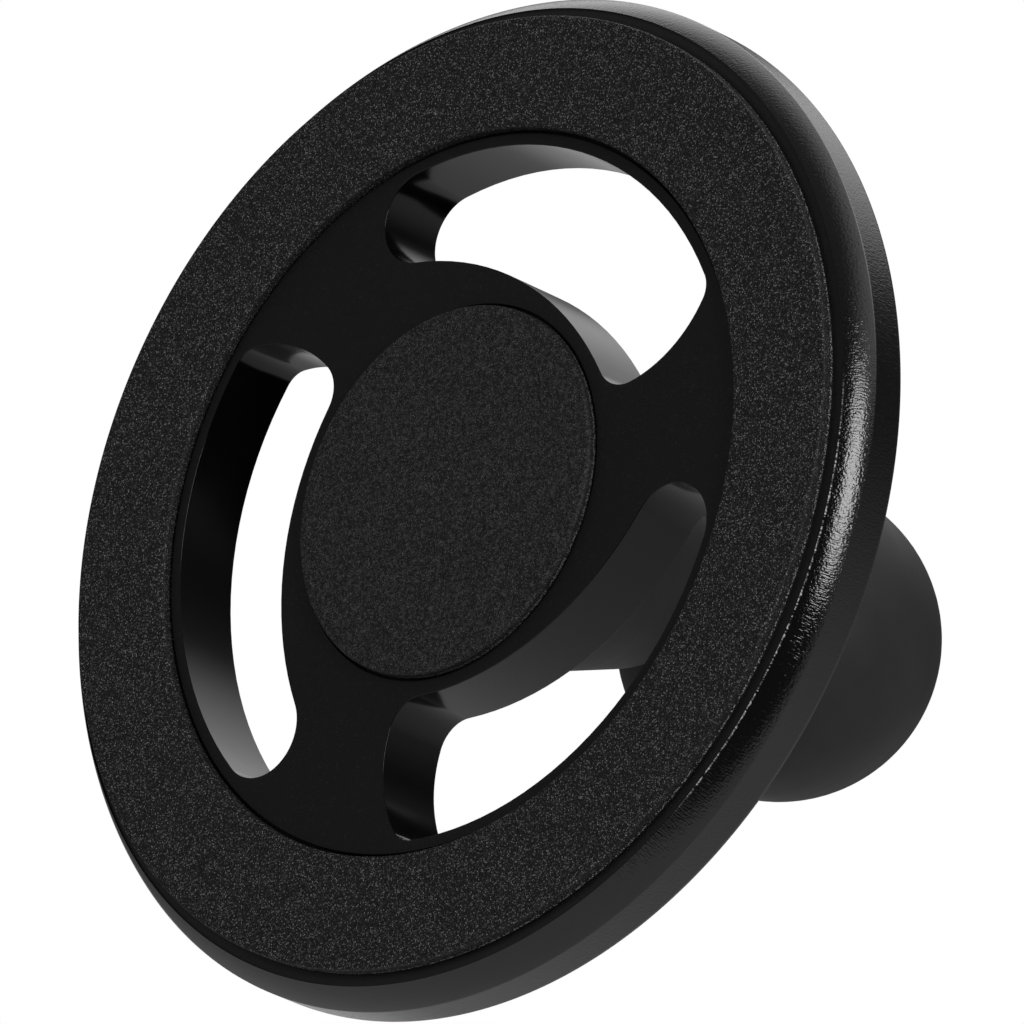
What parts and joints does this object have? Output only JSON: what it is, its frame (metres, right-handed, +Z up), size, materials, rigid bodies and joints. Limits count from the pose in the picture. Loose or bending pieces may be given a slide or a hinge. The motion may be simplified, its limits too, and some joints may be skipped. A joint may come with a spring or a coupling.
{
  "type": "magnetic phone mount",
  "caption": "Round magnetic plate with three swirling windows, a grit-faced ring pad and centre pad, and a ball stud on its back that a socket grips.",
  "frame": {"origin": "centre of the ball, which the socket of another product grips", "axes": "-Y is the way the phone face points, along the disc's axis; +Y runs out of the ball's far end; +Z is up and +X is to the right seen from the front"},
  "size_m": [0.054, 0.0349, 0.054],
  "materials": {
    "black_anodised": "matte black anodised",
    "satin_anodised": "satin dark anodised, turned",
    "pad_rubber": "fine sparkling grit",
    "adhesive": "clear adhesive film",
    "nickel_plate": "nickel plated",
    "plain_steel": "plain rolled",
    "black_oxide": "black oxide"
  },
  "bodies": {
    "root": {"mount_plate": "black_anodised", "ring_pad": "pad_rubber", "ring_adhesive": "adhesive", "centre_pad": "pad_rubber", "centre_adhesive": "adhesive", "backing_ring": "plain_steel", "magnet_01": "nickel_plate", "magnet_02": "nickel_plate", "magnet_03": "nickel_plate", "magnet_04": "nickel_plate", "magnet_05": "nickel_plate", "magnet_06": "nickel_plate", "magnet_07": "nickel_plate", "magnet_08": "nickel_plate", "magnet_09": "nickel_plate", "magnet_10": "nickel_plate", "magnet_11": "nickel_plate", "magnet_12": "nickel_plate", "magnet_13": "nickel_plate", "magnet_14": "nickel_plate", "magnet_15": "nickel_plate", "magnet_16": "nickel_plate", "magnet_17": "nickel_plate", "magnet_18": "nickel_plate", "centre_screw": "black_oxide", "ball_stud": "satin_anodised"}
  },
  "joints": []
}
